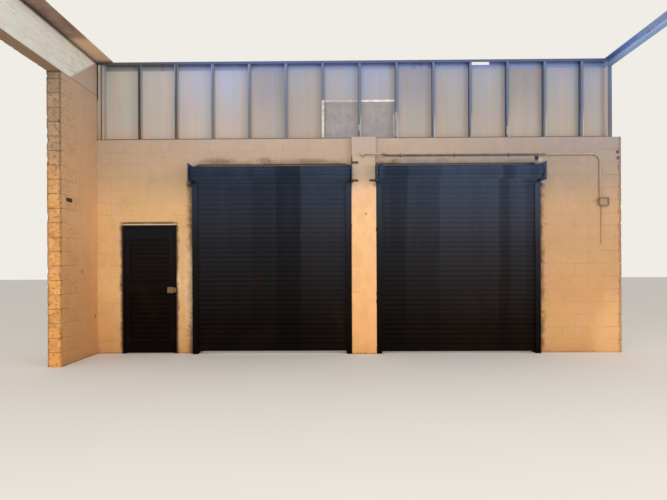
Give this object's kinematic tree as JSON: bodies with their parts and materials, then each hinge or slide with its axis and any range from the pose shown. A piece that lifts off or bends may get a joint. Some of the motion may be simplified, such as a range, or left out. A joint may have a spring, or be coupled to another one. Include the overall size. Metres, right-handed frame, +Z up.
{
  "type": "factory shutter wall",
  "caption": "Painted block cross wall of a factory hall with roller shutters, a hinged slatted steel door, a stud and sheet band above, a wing wall and stub beams.",
  "frame": {"origin": "on the floor, on the wall's centre line, in the middle of the pilaster between the shutters", "axes": "+X along the wall to its free right end, +Y through the wall away from the shutter side, +Z up"},
  "size_m": [8.715, 2.55, 4.79],
  "materials": {
    "wall_paint": "painted concrete block, off-white, dusty towards the floor",
    "raw_block": "painted block, rough ends",
    "beam_paint": "painted concrete",
    "brown_steel": "brown primer, dusty, rust at the edges",
    "blue_steel": "grey-blue paint, dull",
    "galvanised": "galvanised, dull, streaked",
    "sheet": "pale grey coated sheet, stained and streaked",
    "patch": "darker grey coated sheet",
    "trim_white": "off-white edge trim",
    "shutter_black": "sprayed near-black, satin, streaked",
    "shaft_steel": "oiled steel",
    "door_black": "sprayed near-black, satin, scuffed",
    "hinge_steel": "near-black with rubbed edges",
    "brass": "dull, dusty brass colour",
    "conduit_paint": "painted over with the wall",
    "box_white": "off-white, dusty"
  },
  "bodies": {
    "wall": {"wall_left_end": "wall_paint", "wall_over_door": "wall_paint", "door_pier": "wall_paint", "centre_pier": "wall_paint", "pilaster": "wall_paint", "wall_right": "wall_paint", "lintel_course": "wall_paint", "top_course": "wall_paint", "wing_wall": "raw_block", "concrete_beam": "beam_paint", "plate_packing": "brown_steel", "beam_plate": "brown_steel", "side_beam": "blue_steel", "bottom_track": "galvanised", "top_track": "galvanised", "studs": "galvanised", "end_post": "galvanised", "left_trim": "trim_white", "back_sheets": "sheet", "patch_sheets": "patch", "left_curtain": "shutter_black", "left_bottom_bar": "shutter_black", "left_guides": "shutter_black", "left_end_plates": "shutter_black", "left_coil": "shutter_black", "left_barrel": "shaft_steel", "right_curtain": "shutter_black", "right_bottom_bar": "shutter_black", "right_guides": "shutter_black", "right_end_plates": "shutter_black", "right_coil": "shutter_black", "right_barrel": "shaft_steel", "shutter_lugs": "shutter_black", "door_frame": "door_black", "hinge_lower_halves": "hinge_steel", "lock_keep": "brass", "conduit": "conduit_paint", "conduit_clips": "conduit_paint", "switch_box": "box_white", "drop_pipe": "conduit_paint"},
    "door": {"door_leaf": "door_black", "door_slats": "door_black", "hinge_upper_halves": "hinge_steel", "lock_plate": "brass"}
  },
  "joints": [
    {"name": "door_hinge", "type": "hinge", "parent": "wall", "child": "door", "pos_m": [-3.8975, -0.112, 0], "axis": [0, 0, -1], "range_deg": [0, 105]}
  ]
}
